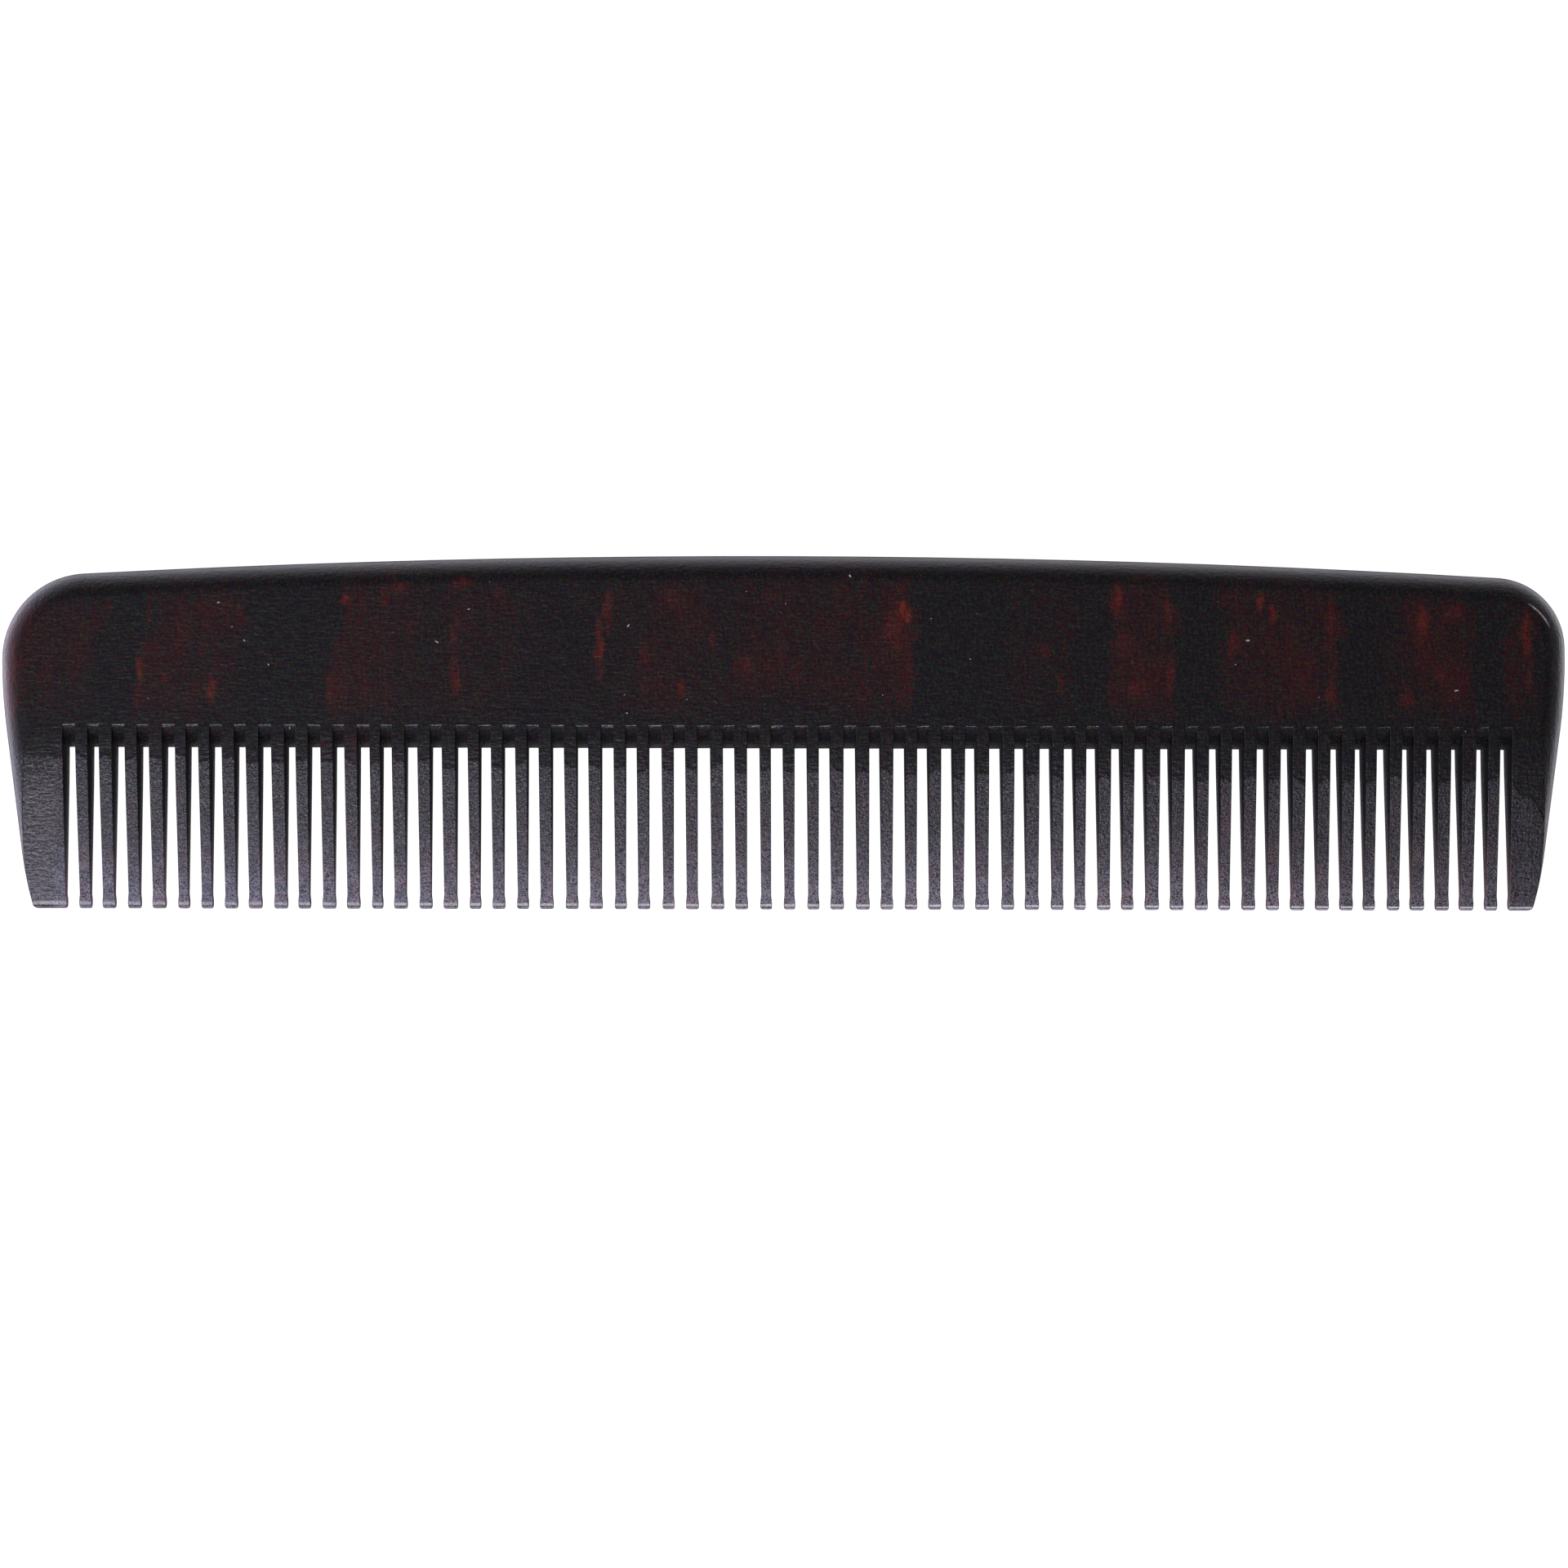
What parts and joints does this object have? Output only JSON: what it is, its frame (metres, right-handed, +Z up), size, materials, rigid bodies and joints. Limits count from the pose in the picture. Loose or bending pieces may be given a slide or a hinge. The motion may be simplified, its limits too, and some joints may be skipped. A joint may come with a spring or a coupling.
{
  "type": "pocket comb",
  "caption": "Slim one-piece pocket comb with a long gently bowed spine, rounded ends, a single row of fine even teeth and a stouter guard tooth at each end.",
  "frame": {"origin": "under the middle of the comb's outline, on the surface that the comb lies on", "axes": "+X along the comb from its left end to its right end, +Y from the tips of the teeth to the spine, +Z up out of the comb's front face"},
  "size_m": [0.129, 0.0292, 0.0042],
  "materials": {
    "tortoiseshell_acetate": "dark mottled tortoiseshell acetate, hand polished to a satin, with sanded and slightly rough teeth"
  },
  "bodies": {
    "root": {"comb": "tortoiseshell_acetate"}
  },
  "joints": []
}
